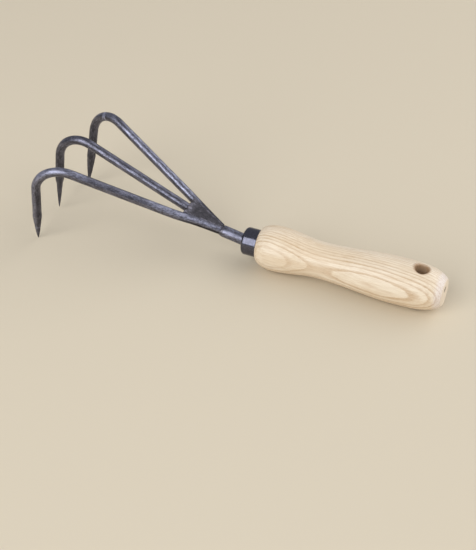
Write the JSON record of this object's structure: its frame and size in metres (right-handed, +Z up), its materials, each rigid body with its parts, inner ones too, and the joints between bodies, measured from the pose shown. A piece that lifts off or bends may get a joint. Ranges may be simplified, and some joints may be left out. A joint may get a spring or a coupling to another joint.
{
  "type": "three prong hand cultivator",
  "caption": "Short handled garden cultivator with swept round tines, forged points, a welded steel head, a black ferrule and a turned ash grip with a hang hole.",
  "frame": {"origin": "centre of the bounding box on the plane that the tool lies on", "axes": "+X along the handle towards the butt, -X towards the points, +Y to the right of a user who points the tines away, +Z up from the bench"},
  "size_m": [0.315, 0.0962, 0.0737],
  "materials": {
    "ash": "pale ash, turned and sanded smooth, thin satin oil, open grain",
    "ferrule_black": "smooth blackened steel with a satin gloss",
    "forged_steel": "dark forge scale, lightly tumbled, with a soft sheen along the crowns",
    "plate_steel": "flat dark matte scale with light scuffs at the welds",
    "weld_metal": "dressed weld bead, dark, slightly rippled"
  },
  "bodies": {
    "root": {"handle": "ash", "ferrule": "ferrule_black", "neck_and_tang": "forged_steel", "head_plate": "plate_steel", "tine_left": "forged_steel", "tine_middle": "forged_steel", "tine_right": "forged_steel", "weld_neck": "weld_metal", "weld_seam_left": "weld_metal", "weld_seam_right": "weld_metal"}
  },
  "joints": []
}
